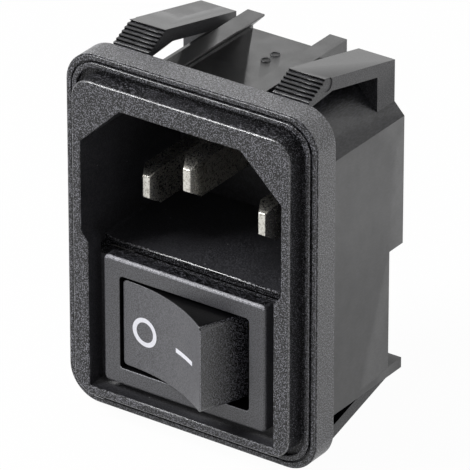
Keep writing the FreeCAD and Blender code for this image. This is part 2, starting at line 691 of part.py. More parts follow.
def build_centre_terminal(pole, row):
    """The pole's common terminal, whose rounded front edge is the bridge's fulcrum."""
    body = new_body(f"centre_terminal_{pole}")
    half = "blade_thick / 2"
    blade = polygon(add_sketch(body, "XY_Plane", f"{row} - switch_row"), box_corners(
        f"-{half}", half, "bridge_axis", "case_rear + blade_length"))
    extrude(body, "Pad", blade, "blade_wide", both=True)
    edge = circle(add_sketch(body, "XY_Plane", f"{row} - switch_row"),
                  ("0", "bridge_axis"), half)
    extrude(body, "Pad", edge, "blade_wide", both=True)
    finish_blade(body, "0", row)
    return body


def tilted(along, out):
    """A place in the closed bridge's frame, as a pair of expressions in the row's frame."""
    turn = "bridge_tilt * 1 deg"
    return (f"({along}) * cos({turn}) + ({out}) * sin({turn})",
            f"bridge_axis - ({along}) * sin({turn}) + ({out}) * cos({turn})")


LANDING_FRONT = "(2 * contact_thick + contact_gap)"


def build_load_terminal(pole, row):
    """The pole's outgoing terminal: a landing square to the closed contact, and a blade."""
    body = new_body(f"load_terminal_{pole}")
    rear = f"({LANDING_FRONT} + blade_thick)"
    end = "case_rear + blade_length"
    outer = "-load_blade"
    inner = "blade_thick - load_blade"
    corner = "-contact_reach - contact_head"
    profile = polygon(add_sketch(body, "XY_Plane", f"{row} - switch_row"), [
        tilted("-landing_inner", LANDING_FRONT), tilted(corner, LANDING_FRONT),
        (outer, tilted(corner, LANDING_FRONT)[1]), (outer, end), (inner, end),
        (inner, tilted(corner, rear)[1]), tilted("-landing_inner", rear)])
    extrude(body, "Pad", profile, "blade_wide", both=True)
    bore = add_sketch(body, "XY_Plane", f"{row} - switch_row")
    centre = tilted("-contact_reach", "0")
    bore.AttachmentOffset = FreeCAD.Placement(FreeCAD.Vector(0, 0, 0),
                                              FreeCAD.Rotation(FreeCAD.Vector(0, 0, 1), 1))
    bore.setExpression("AttachmentOffset.Base.x", bound(centre[0]))
    bore.setExpression("AttachmentOffset.Base.y", bound(centre[1]))
    bore.setExpression("AttachmentOffset.Base.z", bound(f"{row} - switch_row"))
    bore.setExpression("AttachmentOffset.Rotation.Angle", bound("-bridge_tilt"))
    polygon(bore, box_corners("0", "shank_radius + shank_play", "contact_thick",
                              f"{rear} + contact_thick"))
    spin(body, "Groove", bore)
    finish_blade(body, "blade_thick / 2 - load_blade", row)
    return body


def build_all():
    """Every sub-part, in the order in which the inlet goes together."""
    bodies = [build_housing(), build_plate()]
    bodies += [build_pin(label, *place) for label, place in PINS.items()]
    bodies += [build_case(), build_rocker()]
    for pole, row in POLES.items():
        bodies.append(build_plunger(pole, row))
        bodies.append(build_spring(pole, row))
        bodies.append(build_bridge(pole, row))
        bodies.append(build_rivet(f"moving_contact_{pole}", row, "bridge_tilt",
                                  "contact_thick", "-bridge_thick", 1))
        bodies.append(build_rivet(f"fixed_contact_{pole}", row, "(-bridge_tilt)",
                                  "contact_thick + contact_gap",
                                  f"{LANDING_FRONT} + blade_thick", -1))
        bodies.append(build_centre_terminal(pole, row))
        bodies.append(build_load_terminal(pole, row))
    return bodies


def check(bodies):
    """Stop on any object in error, and on any sub-part without a sound solid."""
    for item in doc.Objects:
        if "Invalid" in item.State or "Error" in item.State:
            raise RuntimeError(f"{item.Name} is {item.State}")
    for body in bodies:
        shape = body.Shape
        if shape.isNull() or not shape.isValid() or len(shape.Solids) != 1:
            raise RuntimeError(f"{body.Label} is not one sound solid")


sub_parts = build_all()
doc.recompute()
check(sub_parts)
os.makedirs("parts", exist_ok=True)
for sub_part in sub_parts:
    sub_part.Shape.exportStep(f"parts/{sub_part.Label}.step")
    print(f"{sub_part.Label}: {sub_part.Shape.Volume:.2f} mm3")
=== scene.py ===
"""Looks of a snap-in power inlet: a keyed three-pin inlet above a rocker switch.

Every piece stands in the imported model's own frame, in metres: X across, +Y into the
panel and +Z up.
"""

import json
import logging
import math
from collections.abc import Callable
from dataclasses import dataclass
from enum import Enum

import bmesh
import bpy
from mathutils import Matrix, Vector

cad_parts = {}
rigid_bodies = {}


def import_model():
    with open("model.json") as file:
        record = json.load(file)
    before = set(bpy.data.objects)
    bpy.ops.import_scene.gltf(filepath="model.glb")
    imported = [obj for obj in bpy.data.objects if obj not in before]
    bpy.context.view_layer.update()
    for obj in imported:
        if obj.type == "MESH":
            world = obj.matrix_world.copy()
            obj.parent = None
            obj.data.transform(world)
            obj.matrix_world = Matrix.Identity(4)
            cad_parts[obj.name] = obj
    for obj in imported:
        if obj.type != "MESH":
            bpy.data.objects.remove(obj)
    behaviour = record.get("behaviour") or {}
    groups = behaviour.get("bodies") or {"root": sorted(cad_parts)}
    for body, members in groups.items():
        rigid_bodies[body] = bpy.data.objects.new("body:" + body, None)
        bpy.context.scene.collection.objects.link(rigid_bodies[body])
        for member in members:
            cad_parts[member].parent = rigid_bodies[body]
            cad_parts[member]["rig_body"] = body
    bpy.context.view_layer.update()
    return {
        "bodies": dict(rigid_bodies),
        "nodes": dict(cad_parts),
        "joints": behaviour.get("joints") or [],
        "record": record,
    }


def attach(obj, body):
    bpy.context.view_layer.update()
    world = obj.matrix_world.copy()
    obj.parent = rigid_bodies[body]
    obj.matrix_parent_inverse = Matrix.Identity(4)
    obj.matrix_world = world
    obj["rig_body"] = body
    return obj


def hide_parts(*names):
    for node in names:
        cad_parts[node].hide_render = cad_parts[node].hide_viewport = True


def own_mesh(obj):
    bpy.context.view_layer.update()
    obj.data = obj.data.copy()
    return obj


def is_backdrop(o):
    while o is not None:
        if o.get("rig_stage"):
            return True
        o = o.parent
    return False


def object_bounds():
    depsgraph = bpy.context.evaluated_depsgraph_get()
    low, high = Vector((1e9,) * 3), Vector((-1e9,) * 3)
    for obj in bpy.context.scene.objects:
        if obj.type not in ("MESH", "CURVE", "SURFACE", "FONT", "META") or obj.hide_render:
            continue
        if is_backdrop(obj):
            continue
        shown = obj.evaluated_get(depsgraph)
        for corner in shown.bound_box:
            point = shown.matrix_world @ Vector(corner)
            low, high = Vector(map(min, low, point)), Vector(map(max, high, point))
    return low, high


MM = 0.001
LOG = logging.getLogger("power_inlet")

# Angles between two faces, in degrees: up to the first they are one flat face, from the
# second a convex edge is a corner to round, and from the third an edge is shaded hard.
FLAT_TO = 0.3
CORNER_FROM = 40.0
HARD_FROM = 50.0

# How much of a face's normal lies along an axis: hardly any, at a slant, half, steeply
# and nearly all.
HARDLY = 0.2
SLANTED = 0.3
HALF = 0.5
STEEPLY = 0.7
FACING = 0.9

# Plastic: its refractive index, how strong its grain's finer octaves are, where its
# noise lies and how far that moves with the share that turns pale, how many grains wide
# a cloud of gloss is, and the noise that it spans.
PLASTIC_IOR = 1.53
GRAIN_ROUGHNESS = 0.62
NOISE_MIDDLE = 0.5
NOISE_REACH = 0.3
GRAINS_IN_CLOUD = 14
CLOUD_SPAN = (0.3, 0.7)

# Dust: its colour, the spacing of its specks in mm, and where a speck fades out.
DUST_COLOUR = "#8d8d90"
DUST_SPACING = 1.6
DUST_FADE = (0.05, 0.03)

# Rolled metal: the noise over which a patch turns dull and that over which it turns
# rough, and how much smoother bare metal and rougher a patch is than the finish says.
DULL_SPAN = (0.48, 0.7)
ROUGH_SPAN = (0.3, 0.75)
BARE_SMOOTHER = 0.08
PATCH_ROUGHER = 0.14

# Ink: its refractive index, and the noise over which its film wears thin.
INK_IOR = 1.5
THIN_SPAN = (0.5, 0.8)


def linear(hex_colour: str) -> tuple[float, float, float, float]:
    """Turn an sRGB hex colour into linear RGBA.

    Args:
        hex_colour: Six hex digits, with or without a leading hash.

    Returns:
        Linear red, green, blue and an alpha of 1.
    """
    digits = hex_colour.lstrip("#")
    shares = [int(digits[i:i + 2], 16) / 255 for i in (0, 2, 4)]
    red, green, blue = [c / 12.92 if c <= 0.04045 else ((c + 0.055) / 1.055) ** 2.4
                        for c in shares]
    return red, green, blue, 1.0


def add_node(tree: bpy.types.NodeTree, kind: str, values: dict | None = None,
             links: dict | None = None, **settings: object) -> bpy.types.Node:
    """Add one shader node with its settings, socket values and incoming links.

    Args:
        tree: The node tree that gets the node.
        kind: The node's type name.
        values: Socket name or number to value.
        links: Socket name or number to the output socket that feeds it.
        **settings: Attributes of the node itself.

    Returns:
        The new node.
    """
    node = tree.nodes.new(kind)
    for name, setting in settings.items():
        setattr(node, name, setting)
    for socket, value in (values or {}).items():
        node.inputs[socket].default_value = value
    for socket, source in (links or {}).items():
        tree.links.new(source, node.inputs[socket])
    return node


def new_material(name: str) -> tuple[bpy.types.Material, bpy.types.NodeTree]:
    """Make an empty node material.

    Args:
        name: The material's name.

    Returns:
        The material and its cleared node tree.
    """
    material = bpy.data.materials.new(name)
    material.use_nodes = True
    material.node_tree.nodes.clear()
    return material, material.node_tree


def add_noise(tree: bpy.types.NodeTree, place: bpy.types.NodeSocket, size: float,
              octaves: float, roughness: float = 0.5) -> bpy.types.NodeSocket:
    """Add soft noise.

    Args:
        tree: The material's node tree.
        place: The coordinates that it reads.
        size: The size of its blots in mm.
        octaves: How many finer octaves it has.
        roughness: How strong the finer octaves are.

    Returns:
        The noise, from 0 to 1.
    """
    return add_node(tree, "ShaderNodeTexNoise",
                    {"Scale": 1 / (size * MM), "Detail": octaves, "Roughness": roughness},
                    {"Vector": place}).outputs["Fac"]


def add_range(tree: bpy.types.NodeTree, value: bpy.types.NodeSocket,
              source: tuple[float, float], target: tuple[float, float] = (0.0, 1.0),
              shape: str = "LINEAR") -> bpy.types.NodeSocket:
    """Map one range of a value onto another, and hold it at the ends.

    Args:
        tree: The node tree.
        value: The value.
        source: The value's range.
        target: What the range's two ends become.
        shape: How it goes from one end to the other.

    Returns:
        The mapped value.
    """
    return add_node(tree, "ShaderNodeMapRange",
                    {"From Min": source[0], "From Max": source[1],
                     "To Min": target[0], "To Max": target[1]},
                    {"Value": value}, interpolation_type=shape).outputs["Result"]


def add_mix(tree: bpy.types.NodeTree, share: bpy.types.NodeSocket, first: str,
            second: str) -> bpy.types.NodeSocket:
    """Mix two colours.

    Args:
        tree: The material's node tree.
        share: How much of the second shows, from 0 to 1.
        first: The first colour in hex.
        second: The second colour in hex.

    Returns:
        The mixed colour.
    """
    return add_node(tree, "ShaderNodeMix", {"A": linear(first), "B": linear(second)},
                    {"Factor": share}, data_type="RGBA").outputs[2]


def add_relief(tree: bpy.types.NodeTree, height: bpy.types.NodeSocket,
               depth: float) -> bpy.types.NodeSocket:
    """Turn a height into a bumped normal.

    Args:
        tree: The material's node tree.
        height: The height, from 0 to 1.
        depth: How much that is, in mm.

    Returns:
        The normal.
    """
    return add_node(tree, "ShaderNodeBump", {"Distance": depth * MM},
                    {"Height": height}).outputs["Normal"]


def show(tree: bpy.types.NodeTree, shader: bpy.types.Node) -> None:
    """Let a shader be the material's surface.

    Args:
        tree: The material's node tree.
        shader: The shader node.
    """
    add_node(tree, "ShaderNodeOutputMaterial", None, {"Surface": shader.outputs[0]})


@dataclass(frozen=True)
class MouldedPlastic:
    """Injection-moulded plastic that copies the finish of its tool.

    dark and pale are the two ends of its speckle; grain is the size in mm of the tool's
    texture and depth its height in mm; share is how much of the surface turns pale, and
    edge how soft the step between the two is. roughness varies by spread either way in
    clouds. shine is the shader's specular level, under a half where the grain's own pits
    swallow part of the reflection. octaves is the grain's fineness, streak its scale
    along each axis, and dust how strongly pale specks show.
    """

    name: str
    dark: str
    pale: str
    grain: float
    depth: float
    share: float
    roughness: float
    spread: float
    shine: float = 0.5
    edge: float = 0.16
    octaves: float = 2.0
    streak: tuple[float, float, float] = (1.0, 1.0, 1.0)
    dust: float = 0.0

    def material(self) -> bpy.types.Material:
        """Build the finish as a node material.

        Returns:
            The material.
        """
        material, tree = new_material(self.name)
        place = add_node(tree, "ShaderNodeTexCoord").outputs["Object"]
        run = add_node(tree, "ShaderNodeMapping", {"Scale": self.streak},
                       {"Vector": place}).outputs["Vector"]
        grain = add_noise(tree, run, self.grain, self.octaves, GRAIN_ROUGHNESS)
        cloud = add_noise(tree, place, GRAINS_IN_CLOUD * self.grain, 2.0)
        middle = NOISE_MIDDLE + NOISE_REACH * (0.5 - self.share)
        fleck = add_range(tree, grain, (middle - self.edge / 2, middle + self.edge / 2),
                          shape="SMOOTHSTEP")
        colour = add_mix(tree, fleck, self.dark, self.pale)
        if self.dust:
            colour = self.dusted(tree, place, colour)
        gloss = add_range(tree, cloud, CLOUD_SPAN,
                          (self.roughness - self.spread, self.roughness + self.spread))
        relief = add_relief(tree, grain, self.depth)
        show(tree, add_node(tree, "ShaderNodeBsdfPrincipled",
                            {"IOR": PLASTIC_IOR, "Specular IOR Level": self.shine},
                            {"Base Color": colour, "Roughness": gloss, "Normal": relief}))
        return material

    def dusted(self, tree: bpy.types.NodeTree, place: bpy.types.NodeSocket,
               colour: bpy.types.NodeSocket) -> bpy.types.NodeSocket:
        """Scatter single pale dust specks over the colour.

        Args:
            tree: The material's node tree.
            place: The object coordinates.
            colour: The plain colour's output.

        Returns:
            The dusted colour's output.
        """
        specks = add_node(tree, "ShaderNodeTexVoronoi", {"Scale": 1 / (DUST_SPACING * MM)},
                          {"Vector": place}).outputs["Distance"]
        amount = add_node(tree, "ShaderNodeMath", {1: self.dust},
                          {0: add_range(tree, specks, DUST_FADE)},
                          operation="MULTIPLY").outputs[0]
        return add_node(tree, "ShaderNodeMix", {"B": linear(DUST_COLOUR)},
                        {"Factor": amount, "A": colour}, data_type="RGBA").outputs[2]


@dataclass(frozen=True)
class RolledMetal:
    """Metal strip or wire with drawing lines along it and a few dull patches.

    line and patch are the sizes in mm of its lines and of its dull patches, depth the
    lines' height in mm, along the lines' scale on each axis, and tarnish how far a patch
    loses its metal look to a film of oxide.
    """

    name: str
    colour: str
    stain: str
    roughness: float
    along: tuple[float, float, float] = (1.0, 0.06, 1.0)
    line: float = 0.12
    depth: float = 0.004
    patch: float = 0.9
    tarnish: float = 0.0

    def material(self) -> bpy.types.Material:
        """Build the finish as a node material.

        Returns:
            The material.
        """
        material, tree = new_material(self.name)
        place = add_node(tree, "ShaderNodeTexCoord").outputs["Object"]
        run = add_node(tree, "ShaderNodeMapping", {"Scale": self.along},
                       {"Vector": place}).outputs["Vector"]
        lines = add_noise(tree, run, self.line, 3.0, 0.6)
        patches = add_noise(tree, place, self.patch, 4.0, 0.65)
        dull = add_range(tree, patches, DULL_SPAN)
        colour = add_mix(tree, dull, self.colour, self.stain)
        gloss = add_range(tree, patches, ROUGH_SPAN,
                          (self.roughness - BARE_SMOOTHER, self.roughness + PATCH_ROUGHER))
        relief = add_relief(tree, lines, self.depth)
        shader = add_node(tree, "ShaderNodeBsdfPrincipled", {"Metallic": 1.0},
                          {"Base Color": colour, "Roughness": gloss, "Normal": relief})
        if self.tarnish:
            bare = add_range(tree, dull, (0.0, 1.0), (1.0, 1.0 - self.tarnish))
            tree.links.new(bare, shader.inputs["Metallic"])
        show(tree, shader)
        return material


@dataclass(frozen=True)
class PrintedInk:
    """Pad-printed ink: a thin matt film, a little uneven where the plastic's grain is.

    thin is its colour where the film is thin; grain is the size and depth the height of
    its unevenness, both in mm.
    """

    name: str
    colour: str
    thin: str
    grain: float = 0.25
    depth: float = 0.004
    roughness: float = 0.55

    def material(self) -> bpy.types.Material:
        """Build the finish as a node material.

        Returns:
            The material.
        """
        material, tree = new_material(self.name)
        place = add_node(tree, "ShaderNodeTexCoord").outputs["Object"]
        film = add_noise(tree, place, self.grain, 3.0)
        worn = add_range(tree, film, THIN_SPAN)
        colour = add_mix(tree, worn, self.colour, self.thin)
        relief = add_relief(tree, film, self.depth)
        show(tree, add_node(tree, "ShaderNodeBsdfPrincipled",
                            {"Roughness": self.roughness, "IOR": INK_IOR},
                            {"Base Color": colour, "Normal": relief}))
        return material


class Finish(Enum):
    """The finishes on this inlet, each a material and how its surface was made; a few are
    copies with painted shade or painted light.
    """

    # Glass-filled nylon from a spark-eroded tool: a black, sparkling grain. The grain of
    # about 0.05 mm is drawn at 0.14 mm, the finest that shows.
    SPARKED = MouldedPlastic("nylon_spark_eroded", "#060607", "#828288", 0.14, 0.035, 0.36,
                             0.28, 0.05, shine=0.95, edge=0.16, octaves=1.5)
    # The same grain on the bezel's face, where its pits swallow most of the gloss.
    FACE = MouldedPlastic("nylon_spark_eroded_face", "#030304", "#78787f", 0.135, 0.035, 0.3,
                          0.3, 0.05, shine=0.45, edge=0.13, octaves=1.8)
    # And in the bezel's grooves and cove: the face's grain, darker and with less shine as
    # painted shade for the little light there, with odd sparks.
    COVE = MouldedPlastic("nylon_painted_shade_cove", "#030304", "#74747a", 0.135, 0.035, 0.22,
                          0.34, 0.05, shine=0.24, edge=0.1, octaves=1.8)
    # The same nylon from a polished tool: satin, with faint clouds of gloss.
    SATIN = MouldedPlastic("nylon_polished_tool", "#0a0a0b", "#141416", 0.14, 0.002, 0.4,
                           0.14, 0.03, shine=0.66, streak=(1.0, 0.25, 1.0))
    # The long sides, a little duller, as the tool's ejection stroke rubs them, and paler and
    # shinier than the satin top: painted light for the light that the sides catch.
    WALL = MouldedPlastic("nylon_satin_wall_painted_light", "#1c1c1e", "#2e2e31", 0.16, 0.006, 0.45,
                          0.33, 0.04, shine=1.0, streak=(1.0, 0.3, 1.0))
    # The body's slanted shoulders, where the tool was milled: fine lines along the draw.
    MILLED = MouldedPlastic("nylon_milled_tool", "#0a0a0b", "#333338", 0.14, 0.03, 0.42,
                            0.32, 0.05, shine=0.5, edge=0.24, streak=(1.0, 0.3, 1.0))
    # The arms' sides and teeth, the posts and the ejector rings, with a finer grain.
    SIDES = MouldedPlastic("nylon_fine_eroded", "#060607", "#46464b", 0.14, 0.03, 0.4,
                           0.36, 0.05, shine=0.7, edge=0.24, octaves=1.0)
    # Inside the connector and the switch bay: the same nylon with a few specks of dust, its
    # base painted paler as painted light for the light that gets inside.
    CAVITY = MouldedPlastic("nylon_inside_painted_light", "#232326", "#3e3e42", 0.16, 0.02, 0.4, 0.4,
                            0.05, edge=0.3, octaves=1.0, dust=0.9)
    # Polycarbonate switch frame, finely grained and even.
    FRAME = MouldedPlastic("polycarbonate_fine_grain", "#1d1d20", "#4e4e53", 0.13, 0.02,
                           0.5, 0.46, 0.04, shine=0.8, edge=0.3, octaves=1.0)
    # Polycarbonate rocker, as the frame and a shade paler.
    ROCKER = MouldedPlastic("polycarbonate_rocker", "#303034", "#56565b", 0.13, 0.015, 0.5,
                            0.42, 0.04, shine=0.8, edge=0.3, octaves=1.0)
    # The frame's top ridge and the rims of the rocker's crown: a pale painted highlight along
    # them.
    RUBBED = MouldedPlastic("polycarbonate_painted_highlight", "#5e5e63", "#a0a0a6", 0.12, 0.02,
                            0.5, 0.46, 0.04, shine=0.6, edge=0.3, octaves=1.5)
    # The frame's upper side, as eroded, darkened as painted shade for the ledge's shade.
    SHADED = MouldedPlastic("polycarbonate_painted_shade_top", "#040405", "#4e4e54", 0.13, 0.03,
                            0.26, 0.36, 0.05, shine=0.25, edge=0.13, octaves=1.5)
    # The rocker's own ends, straight from the spark.
    ROUGH_END = MouldedPlastic("polycarbonate_spark_eroded", "#030304", "#525258", 0.13,
                               0.035, 0.36, 0.24, 0.04, shine=1.0, edge=0.16, octaves=1.5)
    # The switch's inner walls, its case behind and the rocker's flanks: the same grade,
    # painted near black as painted shade, where little light gets.
    WELL = MouldedPlastic("polycarbonate_painted_shade_inside", "#040405", "#0e0e10", 0.14, 0.02, 0.4,
                          0.4, 0.05, shine=0.2)
    # Phenolic plate behind the pins: dull, with a coarser grain and a little dust.
    PLATE = MouldedPlastic("phenolic_plate", "#151517", "#2a2a2e", 0.2, 0.03, 0.4, 0.5, 0.05,
                           dust=0.5)
    # Natural acetal plungers, moulded smooth.
    ACETAL = MouldedPlastic("acetal_natural", "#d8d5c8", "#e2dfd3", 0.3, 0.003, 0.5, 0.3,
                            0.03)
    # Bright nickel plate over brass strip, drawn along its length.
    NICKEL = RolledMetal("nickel_plate", "#dbd9d2", "#8e897f", 0.27, depth=0.02, patch=0.22,
                         tarnish=0.2)
    # Plain brass strip, as rolled, a little stained.
    BRASS = RolledMetal("brass_strip", "#d0b070", "#bb9656", 0.32)
    # Silver alloy rivets, with no direction to their lines.
    SILVER = RolledMetal("silver_alloy", "#dcdad6", "#b9b6b0", 0.3, (1.0, 1.0, 1.0))
    # Spring steel wire, drawn bright.
    STEEL = RolledMetal("spring_steel", "#b4b4b6", "#8f8f92", 0.3, (1.0, 1.0, 1.0))
    # White ink, pad-printed.
    INK = PrintedInk("white_pad_print", "#e2e2e9", "#d0d0d8")

    def dress(self) -> bpy.types.Material:
        """Give the finish's material, made once and then shared.

        Returns:
            The material.
        """
        found = bpy.data.materials.get(self.value.name)
        return found or self.value.material()


def finish_mesh(shape: bmesh.types.BMesh, name: str,
                dress: list[Finish]) -> bpy.types.Object:
    """Turn a finished bmesh into a smooth-shaded object with its materials.

    Args:
        shape: The mesh, in place; it is freed.
        name: The piece's name.
        dress: Its finishes, in the order of its faces' material numbers.

    Returns:
        The new object.
    """
    mesh = bpy.data.meshes.new(name)
    shape.to_mesh(mesh)
    shape.free()
    for finish in dress:
        mesh.materials.append(finish.dress())
    mesh.shade_smooth()
    mesh.set_sharp_from_angle(angle=math.radians(HARD_FROM))
    piece = bpy.data.objects.new(name, mesh)
    bpy.context.scene.collection.objects.link(piece)
    weighted = piece.modifiers.new("flat faces stay flat", "WEIGHTED_NORMAL")
    weighted.keep_sharp = True
    return piece


def merged_copy(node: bpy.types.Object) -> bmesh.types.BMesh:
    """Copy a CAD node's loose triangles as one closed mesh with whole flat faces.

    Args:
        node: The CAD node.

    Returns:
        The merged copy.
    """
    shape = bmesh.new()
    shape.from_mesh(node.data)
    bmesh.ops.remove_doubles(shape, verts=shape.verts[:], dist=0.0005 * MM)
    bmesh.ops.dissolve_limit(shape, angle_limit=math.radians(FLAT_TO), verts=shape.verts[:],
                             edges=shape.edges[:])
    return shape


def round_outer_edges(shape: bmesh.types.BMesh, width: float,
                      chosen: Callable[[Vector], bool] | None = None,
                      segments: int = 2) -> None:
    """Round the outer corners of a mesh as a moulding tool or a wear pass leaves them.

    Args:
        shape: The mesh to change.
        width: The rounding's width in mm.
        chosen: A test on an edge's middle, in mm, or None for every edge.
        segments: Strips across the rounding; 1 gives a flat chamfer.
    """
    edges = []
    for edge in shape.edges:
        if len(edge.link_faces) != 2 or not edge.is_convex:
            continue
        if edge.calc_face_angle() < math.radians(CORNER_FROM):
            continue
        middle = (edge.verts[0].co + edge.verts[1].co) / (2 * MM)
        if chosen is None or chosen(middle):
            edges.append(edge)
    bmesh.ops.bevel(shape, geom=edges, offset=width * MM, offset_type="OFFSET",
                    segments=segments, profile=0.5, affect="EDGES",
                    clamp_overlap=False, material=-1, loop_slide=True)


def dress_faces(shape: bmesh.types.BMesh, dress: list[Finish],
                choose: Callable[[bmesh.types.BMFace], Finish]) -> None:
    """Give each face of a mesh its finish.

    Args:
        shape: The mesh.
        dress: The finishes, in the order of the material numbers.
        choose: Gives a face's finish.
    """
    for face in shape.faces:
        face.material_index = dress.index(choose(face))


@dataclass
class Inlet:
    """Common ground of the sub-assemblies: the frame, and how a copy stands for a node."""

    frame: dict

    def stand_in(self, node: str, finish: Finish, slot: str, width: float) -> None:
        """Show a node as a merged copy with rounded edges in one finish.

        Args:
            node: The CAD node's name.
            finish: What the copy is made of.
            slot: The record's material slot.
            width: The edges' rounding in mm, or 0 for none.
        """
        shape = merged_copy(self.frame["nodes"][node])
        if width:
            round_outer_edges(shape, width)
        self.place(finish_mesh(shape, f"{node}_skin", [finish]), node, slot)

    def place(self, piece: bpy.types.Object, node: str, slot: str) -> None:
        """Let a piece ride with a node's body in the node's stead.

        Args:
            piece: The finished piece.
            node: The CAD node that it stands for.
            slot: The record's material slot; not used.
        """
        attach(piece, self.frame["nodes"][node]["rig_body"])
        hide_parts(node)
        LOG.info("%s stands for %s", piece.name, node)


@dataclass
class Housing(Inlet):
    """The moulding: stepped bezel, connector shell, switch bay, snap arms and rails.

    Lengths are in mm. A depth is a place along Y, a height one along Z.
    """

    # How far off a place may be: at a fine edge, at a wall and at the body's top.
    slack: float = 0.02
    wall_slack: float = 0.05
    top_slack: float = 0.2
    # The depth of the bezel's back, the body's half width and its top's height, the
    # height of its shoulder, how far out the arms and rails begin, and the depth behind
    # which its posts stand.
    flange_back: float = 0.0
    body_side: float = 12.95
    body_top: float = 16.92
    shoulder: float = 12.37
    arms_from: float = 6.5
    posts_from: float = 11.0
    # The hollow front: its half width, its lowest and highest place, its front's depth,
    # and the depth in front of which it is the bezel's cove.
    lip: float = 12.1
    hollow: tuple[float, float] = (-16.7, 15.4)
    shell_front: float = -5.0
    cove_back: float = -0.5
    # The bezel: its ridges' rounding, its fine rim step's depths, how near an edge is to
    # one and each one's share of the rounding, its outline's half width, half height and
    # corner radius, its rim's width, and the depth that parts its face from its grooves.
    ridge: float = 0.14
    rim_step: tuple[float, float] = (-3.2, -3.05)
    rim_near: float = 0.006
    rim_shares: tuple[float, float] = (0.6, 0.35)
    outline: tuple[float, float, float] = (15.125, 19.625, 3.6)
    rim_wide: float = 0.4
    grooves: float = -3.0
    # The arms' teeth: their depths, their least rise over the body, an arm's middle and
    # reach across, a notch's least width, a tooth's rounding and how far its foot leans
    # back, the last crest's depth and rounding, and a slit's width and depth per width.
    teeth: tuple[float, float] = (0.1, 3.1)
    teeth_over: float = 0.5
    arm_middle: float = 9.57
    arm_reach: float = 2.3
    notch_wide: float = 2.0
    tooth_round: float = 0.06
    tooth_lean: float = 0.08
    crest: float = 2.9
    crest_round: float = 0.045
    slit: float = 0.12
    slit_deep: float = 1.5
    # The ledge under the opening: its heights, how far its rounded edge goes over them
    # and how far up that looks, its depths and its half width, and where along its front
    # edge flash was trimmed.
    ledge: tuple[float, float] = (-2.5, -1.5)
    ledge_over: float = 0.2
    ledge_looks: tuple[float, float] = (SLANTED, 0.95)
    ledge_depths: tuple[float, float] = (-5.0, -0.3)
    ledge_wide: float = 11.0
    flash: tuple[tuple[float, float], ...] = ((-2.78, -2.05), (-0.71, -0.1), (0.63, 2.45))
    # The ejector pins' rings: where they are across and back, their radius, their
    # thickness as a wire's radius, and how much of that is over the top.
    ejectors: tuple[tuple[float, float], ...] = ((-0.23, 10.17), (-0.16, 11.73))
    ejector_radius: float = 0.48
    ejector_wire: float = 0.05
    ejector_sunk: float = 0.6

    def build(self) -> None:
        """Skin the housing, finish it face by face and add its moulding marks."""
        shape = merged_copy(self.frame["nodes"]["housing"])
        self.undercut_teeth(shape)
        self.round_bezel(shape)
        round_outer_edges(shape, self.tooth_round,
                          lambda at: self.on_teeth(at) and at.y < self.crest, segments=1)
        round_outer_edges(shape, self.crest_round,
                          lambda at: self.on_teeth(at) and at.y >= self.crest)
        self.split_ledge(shape)
        dress = [Finish.SPARKED, Finish.SATIN, Finish.MILLED, Finish.SIDES, Finish.CAVITY,
                 Finish.WALL, Finish.FACE, Finish.COVE]
        dress_faces(shape, dress, self.finish_of)
        skin = finish_mesh(shape, "housing_skin", dress)
        self.place(skin, "housing", "housing_plastic")
        for number, (across, back) in enumerate(self.ejectors, 1):
            self.add_ejector_ring(number, across, back)

    def round_bezel(self, shape: bmesh.types.BMesh) -> None:
        """Round the bezel's ridges, its fine rim step less than the rest.

        Args:
            shape: The merged housing.
        """
        outer, inner = self.rim_step
        near = self.rim_near
        round_outer_edges(shape, self.ridge, lambda at: at.y < outer - near)
        for step, share in zip(self.rim_step, self.rim_shares):
            round_outer_edges(shape, self.ridge * share,
                              lambda at, step=step: abs(at.y - step) < near)
        behind = self.flange_back + self.slack
        round_outer_edges(shape, self.ridge, lambda at: inner + self.ridge < at.y < behind)

    def split_ledge(self, shape: bmesh.types.BMesh) -> None:
        """Cut the ledge's rounded front edge where a sliver of flash begins and ends.

        Args:
            shape: The merged housing.
        """
        for across in (end for sliver in self.flash for end in sliver):
            faces = [face for face in shape.faces if self.on_ledge(face)]
            edges = {edge for face in faces for edge in face.edges}
            verts = {vert for face in faces for vert in face.verts}
            bmesh.ops.bisect_plane(shape, geom=[*faces, *edges, *verts], dist=1e-7,
                                   plane_co=(across * MM, 0, 0), plane_no=(1, 0, 0))

    def on_ledge(self, face: bmesh.types.BMFace) -> bool:
        """Say whether a face is on the rounded front edge of the ledge under the opening.

        Args:
            face: A face of the housing.

        Returns:
            Whether it is.
        """
        at = face.calc_center_median() / MM
        low, high = self.ledge
        front, back = self.ledge_depths
        least, most = self.ledge_looks
        slanted = least < face.normal.z < most and face.normal.y < -SLANTED
        return (slanted and low < at.z < high + self.ledge_over
                and front < at.y < back and abs(at.x) < self.ledge_wide)

    def add_ejector_ring(self, number: int, across: float, back: float) -> None:
        """Add the witness ring that an ejector pin leaves on the body's top.

        Args:
            number: The ring's number.
            across: Its place across, in mm.
            back: Its place behind the panel's front, in mm.
        """
        wire = self.ejector_wire
        shape = bmesh.new()
        bmesh.ops.create_circle(shape, segments=8, radius=wire * MM)
        bmesh.ops.rotate(shape, verts=shape.verts[:], cent=(0, 0, 0),
                         matrix=Matrix.Rotation(math.radians(90), 3, "X"))
        bmesh.ops.translate(shape, verts=shape.verts[:], vec=(self.ejector_radius * MM, 0, 0))
        bmesh.ops.spin(shape, geom=shape.verts[:] + shape.edges[:], cent=(0, 0, 0),
                       axis=(0, 0, 1), angle=math.tau, steps=48, use_merge=True)
        place = Vector((across, back, self.body_top - wire * self.ejector_sunk)) * MM
        bmesh.ops.translate(shape, verts=shape.verts[:], vec=place)
        bmesh.ops.recalc_face_normals(shape, faces=shape.faces[:])
        ring = finish_mesh(shape, f"ejector_ring_{number}", [Finish.SIDES])
        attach(ring, self.frame["nodes"]["housing"]["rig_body"])
        LOG.info("%s is on the top", ring.name)

